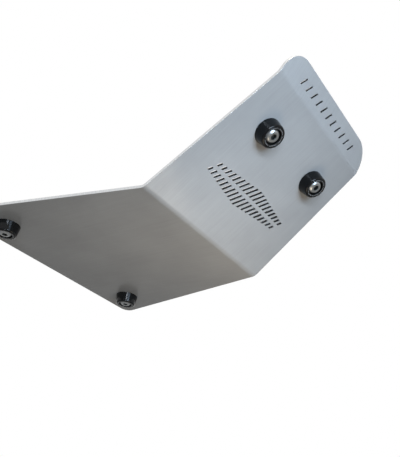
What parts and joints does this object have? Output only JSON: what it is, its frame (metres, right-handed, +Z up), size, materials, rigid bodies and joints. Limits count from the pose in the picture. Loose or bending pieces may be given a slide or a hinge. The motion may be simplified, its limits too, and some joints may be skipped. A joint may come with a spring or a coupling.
{
  "type": "motorcycle skid plate",
  "caption": "Folded sheet metal engine guard for a motorcycle: tapered bottom panel, raised front panel with a lip and slits, held by bolts in black slider pucks.",
  "frame": {"origin": "middle of the outline's length and width, at the level of the rear pucks' faces, which is the lowest level", "axes": "+Z up, +Y to the motorcycle's front wheel, +X to its right side; the bottom panel is level"},
  "size_m": [0.2856, 0.3646, 0.1369],
  "materials": {
    "sheet": "satin mill finish, lightly brushed",
    "puck": "turned and polished, black",
    "cup": "black anodised with a pale ring of ticks",
    "bolt": "stainless, satin",
    "rubber": "moulded, dull"
  },
  "bodies": {
    "root": {"skid_plate": "sheet", "front_right_puck": "puck", "front_right_cup_washer": "cup", "front_right_bolt": "bolt", "front_right_washer": "bolt", "front_right_damper": "rubber", "front_left_puck": "puck", "front_left_cup_washer": "cup", "front_left_bolt": "bolt", "front_left_washer": "bolt", "front_left_damper": "rubber", "rear_right_puck": "puck", "rear_right_cup_washer": "cup", "rear_right_bolt": "bolt", "rear_right_washer": "bolt", "rear_right_damper": "rubber", "rear_left_puck": "puck", "rear_left_cup_washer": "cup", "rear_left_bolt": "bolt", "rear_left_washer": "bolt", "rear_left_damper": "rubber"}
  },
  "joints": []
}
